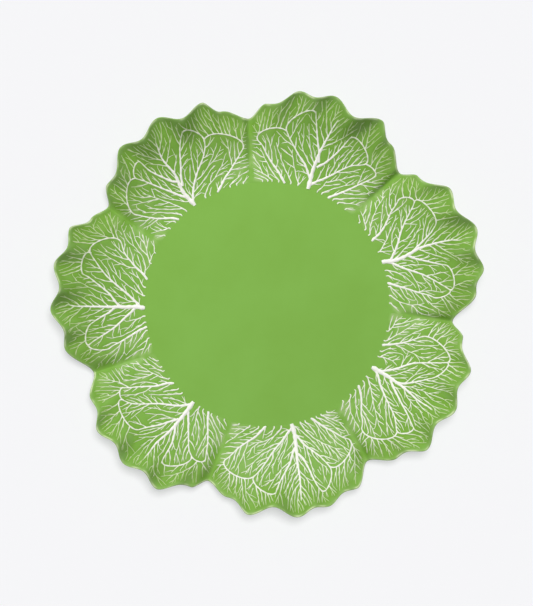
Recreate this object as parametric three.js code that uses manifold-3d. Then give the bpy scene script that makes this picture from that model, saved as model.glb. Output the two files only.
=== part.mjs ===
// A round serving platter: a plain flat well with a rim of seven ruffled cabbage leaves.
// Millimetres, +Z up. It stands on its foot ring at z = 0, with the middle of the well on the Z axis.
// Seen from above with +Y away from the viewer, bearings run counter-clockwise from +X in degrees.
import * as THREE from 'three';
import { mergeVertices } from 'three/addons/utils/BufferGeometryUtils.js';
import Module from 'manifold-3d';

const wasm = await Module();
wasm.setup();

// Well plate and foot ring
const WELL_RADIUS = 101; // plain floor, out to the roots of the leaves
const WELL_THICKNESS = 6;
const FOOT_HEIGHT = 6;
const FOOT_INSET = 12; // edge of the well in to the middle of the face that it stands on
const FOOT_WIDTH = 6; // that face
const FOOT_FLARE = 2; // how much wider the ring is on each side where it meets the plate

// Leaves
const LEAF_LENGTH = 75; // edge of the well to the rim circle, from which the tips are measured
const LEAF_WALL = 5; // upright thickness
const RIM_RISE = 30; // well floor to the rim circle
const RISE_POWER = 2.2; // 1 would be a straight cone, more is a deeper dish
const CROWN = 3; // middle of a leaf above its two seams
const SEAM_DIP = 4; // extra drop right at a seam
const SEAM_ROLL = 3; // reach of that drop into the leaf that lies over the seam
const SEAM_SINK = 6; // reach of that drop into the leaf that goes under it
const ROOT_BLEND = 0.5; // share of a leaf's length over which crown and drop grow from the flat root
const SEAM_LEAN = 2; // degrees that a seam turns between rim and root
const NOTCH_DEPTH = 22; // rim circle to the notch between two leaves
const SCALLOP_DEPTH = 7; // how far the edge draws in between two tips that are one pitch apart
const SCALLOP_PITCH = 12; // degrees
const RUFFLE_RISE = 13; // how far a drawn-in stretch stands above the tips
const RUFFLE_DROP = 0.4; // share of that by which the tips hang below the plain dish
const RUFFLE_START = 0.66; // share of the leaf's length where the ruffles begin
const LIP_ROUND = 2; // rounding of the edge
const SCARF = 5; // how far a bevelled joint runs under its neighbour
const SHEAR_POWER = 4; // how quickly the bevel's sideways slant dies out away from a seam
const CLEARANCE = 0.3; // between luted pieces

// Raised veins
const RIB_WIDTH = 4.4; // midrib, at the root
const SIDE_VEIN_WIDTH = 2.3; // where it starts
const TIP_WIDTH = 1.2; // where a vein ends, and all along an arch
const VEIN_SETBACK = 1.8; // edge of the well to where the first veins start
const VEIN_RELIEF = 0.45; // height of a vein for each millimetre of its width
const VEIN_CREST = 0.5; // share of a vein's width that is left on top

// Fineness of the facets
const PLATE_SEGMENTS = 72;
const LEAF_COLUMNS = 26;
const LEAF_ROWS = 7;
const ROW_CROWDING = 1.3; // 1 would space the rows evenly, more crowds them towards the edge
const VEIN_STEP = 6.4;
const BULGE_SAMPLES = [0, 0.25, 0.5, 0.75, 1];
const CURVE_NUDGE = 0.01;
const MERGE_DISTANCE = 1e-4;

// Each leaf starts at a seam. Its midrib is a share of the way to the next seam.
// The tips of its edge are degrees from the seam, and a share of the notch's depth beyond the rim circle.
const LEAVES = [
  {
    side: 'upper_right', seam: 44, rib: 0.48,
    tips: [[8, -0.43], [14, 0.09], [28, 0.16], [37, 0.05], [46, -0.5]],
  },
  {
    side: 'upper_left', seam: 95, rib: 0.55,
    tips: [[8, -0.59], [13, -0.09], [26, 0.07], [38, 0.02], [48, -0.52]],
  },
  {
    side: 'left', seam: 148, rib: 0.6,
    tips: [[6, -0.66], [11, -0.09], [21.5, 0.09], [33.5, 0.09], [44, -0.25]],
  },
  {
    side: 'lower_left', seam: 201, rib: 0.6,
    tips: [[7, -0.5], [16, -0.07], [27, 0.02], [38, 0.05], [46, -0.57]],
  },
  {
    side: 'lower', seam: 251, rib: 0.56,
    tips: [[7, -0.61], [14, -0.09], [27.5, 0.05], [36, -0.09], [45, -0.32]],
  },
  {
    side: 'lower_right', seam: 302, rib: 0.48,
    tips: [[8, -0.45], [16, 0.09], [28.5, 0.09], [39.5, 0.02], [48, -0.55]],
  },
  {
    side: 'right', seam: 354, rib: 0.48,
    tips: [[9, -0.16], [15.5, 0.2], [26, 0.32], [38, 0.09], [46, -0.59]],
  },
];

// Veins as three points of a curve each: shares of the way from the midrib to the seam, and of the way from
// where the first veins start to the edge. Each half of a leaf has these side veins, which stray a little
// from leaf to leaf. An arch joins each to the next.
const MIDRIB = [[0, 0], [0.05, 0.42], [0, 0.84]];
const SIDE_VEINS = [
  [[0.42, 0], [0.68, 0.24], [0.82, 0.56]],
  [[0, 0.04], [0.36, 0.32], [0.56, 0.68]],
  [[0, 0.26], [0.17, 0.44], [0.28, 0.76]],
];
const SIDE_STRAY = 0.13; // how much a side vein's bend and end stray, as a share of the way to them
const STRAY_TURN = 2.4; // radians by which that swings from one side vein to the next
const ARCH_AT = 0.94; // share of the way along both side veins where an arch joins them
const ARCH_RISE = 0.08; // the bend of an arch beyond the further of its two ends
const STAGGER = 0.06; // how much further out the side veins of the second half leave the midrib

const FULL_TURN = 360;
const FLOOR_Z = FOOT_HEIGHT + WELL_THICKNESS;
const RIM_RADIUS = WELL_RADIUS + LEAF_LENGTH;
const ROOT_RADIUS = WELL_RADIUS + CLEARANCE;
const FOOT_RADIUS = WELL_RADIUS - FOOT_INSET;
const SCARF_SLOPE = SCARF / LEAF_WALL;

const { lerp, smoothstep, degToRad, radToDeg } = THREE.MathUtils;

LEAVES.forEach((leaf, i) => {
  leaf.number = i;
  const next = LEAVES[(i + 1) % LEAVES.length];
  leaf.span = THREE.MathUtils.euclideanModulo(next.seam - leaf.seam, FULL_TURN);
});

// The leaf at a bearing, and the degrees from its first seam.
function leafAt(bearing) {
  for (const leaf of LEAVES) {
    const turn = THREE.MathUtils.euclideanModulo(bearing - leaf.seam, FULL_TURN);
    if (turn < leaf.span) return { leaf, turn };
  }
  throw new Error(`no leaf at ${bearing}`);
}

// The edge of the rim at a bearing: its radius, and how far it is drawn in between two tips.
function edgeAt(bearing) {
  const { leaf, turn } = leafAt(bearing);
  const stops = [[0, -1], ...leaf.tips, [leaf.span, -1]];
  const i = Math.max(1, stops.findIndex(([degrees]) => turn <= degrees));
  const [from, fromReach] = stops[i - 1];
  const [to, toReach] = stops[i];
  const t = (turn - from) / (to - from);
  const besideNotch = i === 1 || i === stops.length - 1;
  const depth = besideNotch ? 0 : SCALLOP_DEPTH * ((to - from) / SCALLOP_PITCH) ** 2;
  const drawnIn = depth * Math.sin(t * Math.PI) ** 2;
  const reach = NOTCH_DEPTH * lerp(fromReach, toReach, smoothstep(t, 0, 1));
  return { radius: RIM_RADIUS + reach - drawnIn, drawnIn };
}

// Height of the leaves' upper surface.
function surfaceZ(radius, bearing) {
  const { leaf, turn } = leafAt(bearing);
  const edge = edgeAt(bearing);
  const out = Math.max(0, (radius - WELL_RADIUS) / LEAF_LENGTH);
  const along = (radius - WELL_RADIUS) / (edge.radius - WELL_RADIUS);
  const share = turn / leaf.span;
  const fromFirst = degToRad(turn) * radius;
  const toSecond = degToRad(leaf.span - turn) * radius;
  const crown = CROWN * (1 - (2 * share - 1) ** 2);
  const rolled = Math.exp(-((fromFirst / SEAM_ROLL) ** 2));
  const sunk = Math.exp(-((toSecond / SEAM_SINK) ** 2));
  const dip = SEAM_DIP * Math.max(rolled, sunk);
  const ruffle = RUFFLE_RISE * (edge.drawnIn / SCALLOP_DEPTH - RUFFLE_DROP);
  const swell = smoothstep(out, 0, ROOT_BLEND) * (crown - dip);
  return FLOOR_Z + RIM_RISE * out ** RISE_POWER + swell + smoothstep(along, RUFFLE_START, 1) * ruffle;
}

// A point from its radius, its bearing where its seam line meets the rim circle, and its height.
function place(radius, bearing, z) {
  const lean = SEAM_LEAN * (1 - (radius - WELL_RADIUS) / LEAF_LENGTH);
  const angle = degToRad(bearing + lean);
  return new THREE.Vector3(radius * Math.cos(angle), radius * Math.sin(angle), z);
}

// A closed skin over a row of loops that have the same number of points, with both ends capped.
function loft(loops) {
  const size = loops[0].length;
  const positions = loops.flat().flatMap((point) => point.toArray());
  const faces = [];
  for (let ring = 0; ring < loops.length - 1; ring++) {
    for (let k = 0; k < size; k++) {
      const a = ring * size + k;
      const b = ring * size + ((k + 1) % size);
      faces.push(a, b, a + size, b, b + size, a + size);
    }
  }
  const far = (loops.length - 1) * size;
  for (let a = 0, b = size - 1; b - a > 1; a++, b--) {
    faces.push(a, b, a + 1, far + a, far + a + 1, far + b);
    if (b - 1 > a + 1) faces.push(a + 1, b, b - 1, far + a + 1, far + b - 1, far + b);
  }
  const geometry = new THREE.BufferGeometry();
  geometry.setAttribute('position', new THREE.Float32BufferAttribute(positions, 3));
  geometry.setIndex(faces);
  return geometry;
}

// A leaf is a loft of sections that run from root to edge over the top, round the lip and back underneath.
// Its first side edge lies over the neighbour's bevel. Its second one is the bevel that the next leaf covers.
function leafGeometry(leaf) {
  const loops = [];
  for (let column = 0; column <= LEAF_COLUMNS; column++) {
    const share = column / LEAF_COLUMNS;
    const shear = SCARF * (2 * share - 1) ** SHEAR_POWER;
    const slack = CLEARANCE * (0.5 - share);
    const bearing = leaf.seam + leaf.span * share;
    const bearingOn = (radius, sideways) => bearing + radToDeg((slack + sideways) / radius);
    const edge = edgeAt(bearing).radius;
    const top = [];
    const under = [];
    for (let row = 0; row <= LEAF_ROWS; row++) {
      const along = 1 - (1 - row / LEAF_ROWS) ** ROW_CROWDING;
      const radius = lerp(ROOT_RADIUS, edge - LIP_ROUND, along);
      const underRadius = lerp(ROOT_RADIUS + SCARF, edge - LIP_ROUND, along);
      const z = surfaceZ(radius, bearingOn(radius, 0));
      top.push(place(radius, bearingOn(radius, 0), z));
      under.unshift(place(underRadius, bearingOn(underRadius, shear), z - LEAF_WALL));
    }
    const lip = place(edge, bearingOn(edge, shear / 2), top[LEAF_ROWS].z - LEAF_WALL / 2);
    loops.push([...top, lip, ...under]);
  }
  return loft(loops);
}

// A curve from three points in shares of a leaf.
function bend(points) {
  return new THREE.QuadraticBezierCurve(...points.map(([...shares]) => new THREE.Vector2(...shares)));
}

// A side vein's three points as they lie on one half of one leaf. Those of the second half leave the midrib
// further out, so that the two halves alternate.
function sideVein([first, middle, last], i, half, leaf) {
  const later = half > 0 && first[0] === 0 ? STAGGER : 0;
  const swing = STRAY_TURN * (SIDE_VEINS.length * (2 * leaf.number + (half > 0 ? 1 : 0)) + i);
  const across = 1 + SIDE_STRAY * Math.sin(swing);
  const along = 1 + SIDE_STRAY * Math.cos(swing);
  const start = [first[0], first[1] + later];
  const turning = [middle[0] * across, middle[1]];
  const end = [last[0] * across, last[1] * along];
  return bend([start, turning, end]);
}

// The arch between two side veins.
function archBetween(sides) {
  const [start, end] = sides.map((side) => side.getPoint(ARCH_AT));
  const middle = [(start.x + end.x) / 2, Math.max(start.y, end.y) + ARCH_RISE];
  return bend([start, middle, end]);
}

// How far the leaf bulges above the straight step between two sections of a vein.
function bulgeBetween(near, far, heightAt) {
  let bulge = 0;
  for (const across of BULGE_SAMPLES) {
    for (const along of BULGE_SAMPLES) {
      const from = near.left.clone().lerp(near.right, across);
      const to = far.left.clone().lerp(far.right, across);
      const point = from.lerp(to, along);
      bulge = Math.max(bulge, heightAt(point) - point.z);
    }
  }
  return bulge;
}

// A vein laid on a leaf: a low ridge along a curve in shares of the leaf, from one width to another.
function veinGeometry({ curve, widths }, planAt, heightAt) {
  const planAlong = (t) => planAt(curve.getPoint(t));
  const middle = planAlong(0.5);
  const length = planAlong(0).distanceTo(middle) + middle.distanceTo(planAlong(1));
  const steps = Math.ceil(length / VEIN_STEP);
  const sections = [];
  for (let i = 0; i <= steps; i++) {
    const t = i / steps;
    const width = lerp(...widths, t);
    const ahead = planAlong(Math.min(1, t + CURVE_NUDGE)).sub(planAlong(Math.max(0, t - CURVE_NUDGE)));
    const sideways = new THREE.Vector3(-ahead.y, ahead.x, 0).setLength(width / 2);
    const left = planAlong(t).add(sideways);
    const right = planAlong(t).sub(sideways);
    left.z = heightAt(left);
    right.z = heightAt(right);
    sections.push({ left, right, width, bulge: 0 });
  }
  for (let i = 0; i < steps; i++) {
    const bulge = bulgeBetween(sections[i], sections[i + 1], heightAt);
    sections[i].bulge = Math.max(sections[i].bulge, bulge);
    sections[i + 1].bulge = Math.max(sections[i + 1].bulge, bulge);
  }
  const loops = sections.map(({ left, right, width, bulge }) => {
    const seat = new THREE.Vector3(0, 0, CLEARANCE + bulge);
    const crest = new THREE.Vector3(0, 0, CLEARANCE + bulge + width * VEIN_RELIEF);
    const slope = (1 - VEIN_CREST) / 2;
    return [
      left.clone().add(seat),
      left.clone().lerp(right, slope).add(crest),
      right.clone().lerp(left, slope).add(crest),
      right.clone().add(seat),
    ];
  });
  return loft(loops);
}

// A closed mesh as a solid for joining.
function solidOf(geometry) {
  const merged = mergeVertices(geometry, MERGE_DISTANCE);
  const vertProperties = merged.getAttribute('position').array;
  const triVerts = new Uint32Array(merged.index.array);
  return new wasm.Manifold(new wasm.Mesh({ numProp: 3, vertProperties, triVerts }));
}

// The vein tree of one leaf, draped over that leaf's mesh and joined into one body.
function veinsGeometry(leaf, leafMesh) {
  const caster = new THREE.Raycaster();
  const above = new THREE.Box3().setFromObject(leafMesh).max.z + 1;
  const down = new THREE.Vector3(0, 0, -1);
  const heightAt = ({ x, y }) => {
    caster.set(new THREE.Vector3(x, y, above), down);
    return caster.intersectObject(leafMesh)[0].point.z;
  };
  const planOn = (half) => (shares) => {
    const room = half < 0 ? leaf.rib : 1 - leaf.rib;
    const bearing = leaf.seam + leaf.span * (leaf.rib + half * room * shares.x);
    return place(lerp(WELL_RADIUS + VEIN_SETBACK, edgeAt(bearing).radius, shares.y), bearing, 0);
  };
  const midrib = { curve: bend(MIDRIB), widths: [RIB_WIDTH, TIP_WIDTH] };
  const ridges = [veinGeometry(midrib, planOn(1), heightAt)];
  for (const half of [-1, 1]) {
    const sides = SIDE_VEINS.map((points, i) => sideVein(points, i, half, leaf));
    const arches = sides.slice(1).map((side, i) => archBetween([sides[i], side]));
    for (const curve of sides) {
      ridges.push(veinGeometry({ curve, widths: [SIDE_VEIN_WIDTH, TIP_WIDTH] }, planOn(half), heightAt));
    }
    for (const curve of arches) {
      ridges.push(veinGeometry({ curve, widths: [TIP_WIDTH, TIP_WIDTH] }, planOn(half), heightAt));
    }
  }
  const tree = ridges.map(solidOf).reduce((joined, ridge) => joined.add(ridge));
  const { vertProperties, triVerts } = tree.getMesh();
  const geometry = new THREE.BufferGeometry();
  geometry.setAttribute('position', new THREE.BufferAttribute(vertProperties, 3));
  geometry.setIndex(new THREE.BufferAttribute(triVerts, 1));
  return geometry;
}

// The plate is bevelled so that it widens downwards under the roots of the leaves.
function wellPlateGeometry() {
  const profile = [
    new THREE.Vector2(0, FOOT_HEIGHT),
    new THREE.Vector2(WELL_RADIUS + WELL_THICKNESS * SCARF_SLOPE, FOOT_HEIGHT),
    new THREE.Vector2(WELL_RADIUS, FLOOR_Z),
    new THREE.Vector2(0, FLOOR_Z),
  ];
  return new THREE.LatheGeometry(profile, PLATE_SEGMENTS).rotateX(Math.PI / 2);
}

function footRingGeometry() {
  const inner = FOOT_RADIUS - FOOT_WIDTH / 2;
  const outer = FOOT_RADIUS + FOOT_WIDTH / 2;
  const profile = [
    new THREE.Vector2(inner, 0),
    new THREE.Vector2(outer, 0),
    new THREE.Vector2(outer + FOOT_FLARE, FOOT_HEIGHT),
    new THREE.Vector2(inner - FOOT_FLARE, FOOT_HEIGHT),
    new THREE.Vector2(inner, 0),
  ];
  return new THREE.LatheGeometry(profile, PLATE_SEGMENTS).rotateX(Math.PI / 2);
}

const greenGlaze = { color: 0x83b652, roughness: 0.2, metalness: 0 };
const whiteGlaze = { color: 0xf0ece1, roughness: 0.25, metalness: 0 };
const bareClay = { color: 0xd9cbb2, roughness: 0.85, metalness: 0 };

function piece(name, geometry, finish) {
  const mesh = new THREE.Mesh(geometry, new THREE.MeshStandardMaterial(finish));
  mesh.name = name;
  return mesh;
}

const platter = new THREE.Group();
platter.name = 'serving_platter';
platter.add(piece('well_plate', wellPlateGeometry(), greenGlaze));
platter.add(piece('foot_ring', footRingGeometry(), bareClay));
for (const leaf of LEAVES) {
  const leafMesh = piece(`leaf_${leaf.side}`, leafGeometry(leaf), greenGlaze);
  platter.add(leafMesh);
  platter.add(piece(`veins_${leaf.side}`, veinsGeometry(leaf, leafMesh), whiteGlaze));
}

export default platter;
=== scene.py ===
"""The looks of a round serving platter with a rim of seven ruffled, veined cabbage leaves.

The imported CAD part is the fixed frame. Every piece is rebuilt here at a finer grain on the same surface
formula, and gets a glaze or clay finish made of nodes.
Lengths are millimetres until a mesh is made, and metres in the studio. Bearings are degrees,
counter-clockwise from +X as seen from above. Points in plan are complex numbers, x + iy.
"""

import logging
import math
from abc import ABC, abstractmethod
from collections.abc import Sequence
from dataclasses import dataclass, field
from enum import Enum
from typing import ClassVar

import bpy
import numpy as np
from mathutils import Color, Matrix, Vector, kdtree

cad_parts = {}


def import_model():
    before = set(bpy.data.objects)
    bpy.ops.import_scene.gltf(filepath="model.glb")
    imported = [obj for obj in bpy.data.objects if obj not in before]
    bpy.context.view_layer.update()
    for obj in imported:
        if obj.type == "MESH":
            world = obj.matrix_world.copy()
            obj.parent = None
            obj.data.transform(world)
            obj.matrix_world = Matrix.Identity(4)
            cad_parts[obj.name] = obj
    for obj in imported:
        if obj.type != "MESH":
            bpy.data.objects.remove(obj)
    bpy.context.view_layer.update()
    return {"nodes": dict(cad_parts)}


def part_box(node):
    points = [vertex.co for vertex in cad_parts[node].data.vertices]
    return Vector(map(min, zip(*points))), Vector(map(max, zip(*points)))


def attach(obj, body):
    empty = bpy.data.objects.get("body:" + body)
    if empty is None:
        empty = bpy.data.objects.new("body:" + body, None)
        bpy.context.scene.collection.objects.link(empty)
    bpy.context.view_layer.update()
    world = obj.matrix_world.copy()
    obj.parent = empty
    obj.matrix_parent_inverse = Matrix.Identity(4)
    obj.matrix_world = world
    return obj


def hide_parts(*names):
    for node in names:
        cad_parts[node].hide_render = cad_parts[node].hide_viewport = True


Array = np.ndarray
Pair = tuple[float, float]
Place = tuple[float, float, float]
Colour = tuple[float, float, float, float]
Route = tuple[Pair, ...]
Faces = list[list[int]]
Socket = bpy.types.NodeSocket
Outputs = bpy.types.NodeOutputs

LOG = logging.getLogger("platter")
MM = 0.001
FULL_TURN = 360.0
HALF_TURN = 180.0
BRIGHTEST = 255.0
BODY = "root"
CREASE_ANGLE = 40.0
FIRST_SEED = 20


class Slot(Enum):
    """Material slots of the pieces."""

    GREEN = "green_glaze"
    WHITE = "white_glaze"
    CLAY = "bare_clay"


class Side(Enum):
    """Where a leaf sits, seen from above."""

    UPPER_RIGHT = "upper_right"
    UPPER_LEFT = "upper_left"
    LEFT = "left"
    LOWER_LEFT = "lower_left"
    LOWER = "lower"
    LOWER_RIGHT = "lower_right"
    RIGHT = "right"


class Half(Enum):
    """The two halves of a leaf, before and after its midrib."""

    FIRST = -1
    SECOND = 1


class Mask(Enum):
    """Values that a mesh holds at its corners, for its glaze."""

    # painted shade, and glaze that pools
    SHADE_AND_POOL = "pool"
    # thin glaze, with painted highlights, glints and sheen
    LIP = "lip"
    FINENESS = "fineness"


def smoothstep(share: Array | float) -> Array:
    """Eases a share from 0 to 1, and holds it there outside that range."""
    held = np.clip(share, 0.0, 1.0)
    return held * held * (3.0 - 2.0 * held)


def fading(distance: Array, reach: float, most: float = 1.0) -> Array:
    """A value that is highest on a line, and fades away from it over the reach."""
    return most * np.exp(-((distance / reach) ** 2))


def circle(segments: int) -> Array:
    """Even steps round the unit circle, as complex points."""
    return np.exp(2j * math.pi * np.arange(segments) / segments)


def lengths_along(points: Array) -> Array:
    """The way along a line of complex points, from the first to each of them."""
    return np.concatenate([[0.0], np.cumsum(np.abs(np.diff(points)))])


def headings(points: Array) -> Array:
    """Complex units that point along a line of complex points."""
    ahead = np.gradient(points)
    return ahead / np.abs(ahead)


def linear(*levels: int) -> Colour:
    """The linear colour that a shader takes for a display colour's levels of red, green and blue."""
    shown = Color([level / BRIGHTEST for level in levels])
    return (*shown.from_srgb_to_scene_linear(), 1.0)


# Form of the rim, as in the CAD part


@dataclass(frozen=True)
class LeafPlan:
    """One leaf in plan.

    Its seam is the bearing of its first edge, and its rib is the midrib's share of the way to the next seam.
    Its fullness is how densely its fine veins lie. Its tips are degrees from the first seam, and a share of
    the notch's depth beyond the rim circle.
    """

    side: Side
    seam: float
    rib: float
    fullness: float
    tips: Route


LEAVES = (
    LeafPlan(Side.UPPER_RIGHT, 44, 0.48, 0.98, ((8, -0.43), (14, 0.09), (28, 0.16), (37, 0.05), (46, -0.5))),
    LeafPlan(Side.UPPER_LEFT, 95, 0.55, 0.95, ((8, -0.59), (13, -0.09), (26, 0.07), (38, 0.02), (48, -0.52))),
    LeafPlan(Side.LEFT, 148, 0.6, 0.95, ((6, -0.66), (11, -0.09), (21.5, 0.09), (33.5, 0.09), (44, -0.25))),
    LeafPlan(Side.LOWER_LEFT, 201, 0.6, 1.04, ((7, -0.5), (16, -0.07), (27, 0.02), (38, 0.05), (46, -0.57))),
    LeafPlan(Side.LOWER, 251, 0.56, 1.2, ((7, -0.61), (14, -0.09), (27.5, 0.05), (36, -0.09), (45, -0.32))),
    LeafPlan(
        Side.LOWER_RIGHT, 302, 0.48, 1.13, ((8, -0.45), (16, 0.09), (28.5, 0.09), (39.5, 0.02), (48, -0.55))
    ),
    LeafPlan(Side.RIGHT, 354, 0.48, 1.0, ((9, -0.16), (15.5, 0.2), (26, 0.32), (38, 0.09), (46, -0.59))),
)


@dataclass(frozen=True)
class LeafForm:
    """The surface of one leaf. All the leaves share its sizes."""

    leaf: LeafPlan
    floor: float
    well_radius: float = 101.0
    leaf_length: float = 75.0
    wall: float = 5.0
    rim_rise: float = 30.0
    rise_power: float = 2.2
    crown: float = 3.0
    seam_dip: float = 4.0
    seam_roll: float = 3.0  # how far the dip reaches after the first seam
    seam_sink: float = 6.0  # how far it reaches before the second one
    root_blend: float = 0.5  # share of the leaf over which crown and dip grow
    seam_lean: float = 2.0  # degrees at the root
    notch_depth: float = 22.0  # how far inside the rim circle a seam ends
    scallop_depth: float = 7.0  # of a scallop as wide as the pitch
    scallop_pitch: float = 12.0  # degrees
    ruffle_rise: float = 13.0
    ruffle_drop: float = 0.4  # share of the rise by which the tips hang
    ruffle_start: float = 0.66  # share of the way to the edge
    scarf: float = 5.0  # how far outside the root the underside starts

    @property
    def span(self) -> float:
        """Degrees between the leaf's two seams."""
        following = LEAVES[(LEAVES.index(self.leaf) + 1) % len(LEAVES)]
        return (following.seam - self.leaf.seam) % FULL_TURN

    def lean(self, radius: Array) -> Array:
        """Degrees by which the seams lean at a radius, which are none on the rim circle."""
        return self.seam_lean * (1.0 - (radius - self.well_radius) / self.leaf_length)

    def edge(self, turn: Array) -> tuple[Array, Array]:
        """The leaf's edge.

        Args:
            turn: degrees from the first seam.

        Returns:
            The edge's radius, and how far it is drawn in between two tips.
        """
        stops = ((0.0, -1.0), *self.leaf.tips, (self.span, -1.0))
        degrees, reaches = np.array(stops).T
        held = np.clip(turn, 0.0, self.span)
        after = np.clip(np.searchsorted(degrees, held), 1, len(stops) - 1)
        width = degrees[after] - degrees[after - 1]
        share = (held - degrees[after - 1]) / width
        beside_notch = (after == 1) | (after == len(stops) - 1)
        depth = np.where(beside_notch, 0.0, self.scallop_depth * (width / self.scallop_pitch) ** 2)
        drawn_in = depth * np.sin(share * math.pi) ** 2
        eased = reaches[after - 1] + (reaches[after] - reaches[after - 1]) * smoothstep(share)
        return self.well_radius + self.leaf_length + self.notch_depth * eased - drawn_in, drawn_in

    def along(self, radius: Array, turn: Array) -> Array:
        """Shares of the way from the root to the edge."""
        return (radius - self.well_radius) / (self.edge(turn)[0] - self.well_radius)

    def height(self, radius: Array, turn: Array) -> Array:
        """Height of the leaf's upper surface.

        Args:
            radius: distance from the middle of the platter.
            turn: degrees from the first seam.

        Returns:
            Heights above the table.
        """
        held = np.clip(turn, 0.0, self.span)
        out = np.maximum(0.0, (radius - self.well_radius) / self.leaf_length)
        dish = self.rim_rise * out**self.rise_power
        crown = self.crown * (1.0 - (2.0 * held / self.span - 1.0) ** 2)
        rolled = fading(np.radians(held) * radius, self.seam_roll)
        sunk = fading(np.radians(self.span - held) * radius, self.seam_sink)
        arch = smoothstep(out / self.root_blend) * (crown - self.seam_dip * np.maximum(rolled, sunk))
        _, drawn_in = self.edge(held)
        ruffle = self.ruffle_rise * (drawn_in / self.scallop_depth - self.ruffle_drop)
        ruffled = smoothstep((self.along(radius, held) - self.ruffle_start) / (1.0 - self.ruffle_start))
        return self.floor + dish + arch + ruffled * ruffle

    def place(self, radius: Array, turn: Array) -> Array:
        """Complex points in plan, at degrees from the first seam."""
        return radius * np.exp(1j * np.radians(self.leaf.seam + turn + self.lean(radius)))

    def spot(self, turn: Array, along: Array | float) -> Array:
        """Complex points in plan, at degrees from the first seam and shares of the way from root to edge."""
        edge, _ = self.edge(turn)
        return self.place(self.well_radius + along * (edge - self.well_radius), turn)

    def polar(self, points: Array) -> tuple[Array, Array]:
        """Where complex points in plan lie on the leaf.

        Args:
            points: the points.

        Returns:
            Radius, and degrees from the first seam, which are negative before it.
        """
        radius = np.abs(points)
        middle = self.span / 2.0
        turn = np.degrees(np.angle(points)) - self.lean(radius) - self.leaf.seam - middle
        return radius, (turn + HALF_TURN) % FULL_TURN - HALF_TURN + middle

    def over(self, points: Array) -> Array:
        """Height of the leaf's upper surface over complex points in plan."""
        return self.height(*self.polar(points))


# Veins, laid stroke by stroke in plan

# The start, bend and end of each main vein, as shares of the way from midrib to seam and from root to edge
MIDRIB: Route = ((0.0, 0.0), (0.05, 0.42), (0.0, 0.84))
SIDE_VEINS: tuple[Route, ...] = (
    ((0.42, 0.0), (0.68, 0.24), (0.82, 0.56)),
    ((0.0, 0.04), (0.36, 0.32), (0.56, 0.68)),
    ((0.0, 0.26), (0.17, 0.44), (0.28, 0.76)),
)
SIDE_STRAY = 0.13  # share by which side veins differ
STRAY_TURN = 2.4  # radians from one side vein's stray to the next
STAGGER = 0.06  # how much further out they start on the second half
ARCH_SAMPLES = np.array([0.94, 0.95])  # where an arch leaves a side vein, and a point just after
ARCH_ROUNDNESS = 0.4
ROOT_STARTS = (0.66, 0.84, 0.2, 0.3, 0.52, 0.75, 0.93)
CURVE_SAMPLES = np.linspace(0.0, 1.0, 60)
FEWEST_POINTS = 3


def bend(points: Route, at: Array) -> Array:
    """A curve through shares of a leaf.

    Args:
        points: its start, bend and end.
        at: shares of the way along.

    Returns:
        One row of two shares for each of them.
    """
    start, middle, end = (np.array(point) for point in points)
    along = np.reshape(at, (-1, 1))
    return start * (1.0 - along) ** 2 + 2.0 * middle * along * (1.0 - along) + end * along**2


@dataclass(frozen=True)
class StrokeRules:
    """How one order of veins is laid.

    A vein has a longest and a shortest length, keeps clear of other veins, narrows from one width to the
    other, and is pulled outwards at each step. Veins start every so often along a line, at an angle to it.
    """

    longest: float
    shortest: float
    clear: float
    widths: Pair
    outwards: float = 0.0
    every: float = 0.0
    angle: float = 0.0


ROOT_RULES = StrokeRules(40.0, 6.0, 2.2, (1.2, 0.6), outwards=0.015)
BRANCH_ORDERS = (
    StrokeRules(36.0, 7.0, 2.2, (1.0, 0.6), outwards=0.03, every=4.4, angle=42.0),
    StrokeRules(20.0, 5.5, 1.8, (0.8, 0.5), outwards=0.02, every=6.5, angle=27.0),
)
EDGE_RULES = StrokeRules(26.0, 4.0, 2.0, (0.8, 0.42), every=3.2, angle=40.0)
TWIG_RULES = StrokeRules(11.0, 5.0, 1.7, (0.7, 0.45), outwards=0.01, every=6.0, angle=23.0)
LOOSE_RULES = StrokeRules(12.0, 4.6, 2.0, (0.7, 0.45), outwards=0.01)


@dataclass(frozen=True)
class Stroke:
    """One vein in plan, with its widths at both ends. What leaves an arch fans out across it."""

    points: Array
    widths: Pair
    from_root: bool
    arch: bool
    swell: float = 0.13
    swell_turn: float = 1.1
    narrowing: float = 1.5

    def width(self) -> Array:
        """Its width at each point, which swells a little and narrows fast at first, as a rib does.

        Returns:
            Millimetres.
        """
        start, end = self.widths
        phase = self.swell_turn * lengths_along(self.points) + self.points[0].real
        narrowed = end + (start - end) * np.linspace(1.0, 0.0, len(self.points)) ** self.narrowing
        return (1.0 + self.swell * np.sin(phase)) * narrowed


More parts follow.
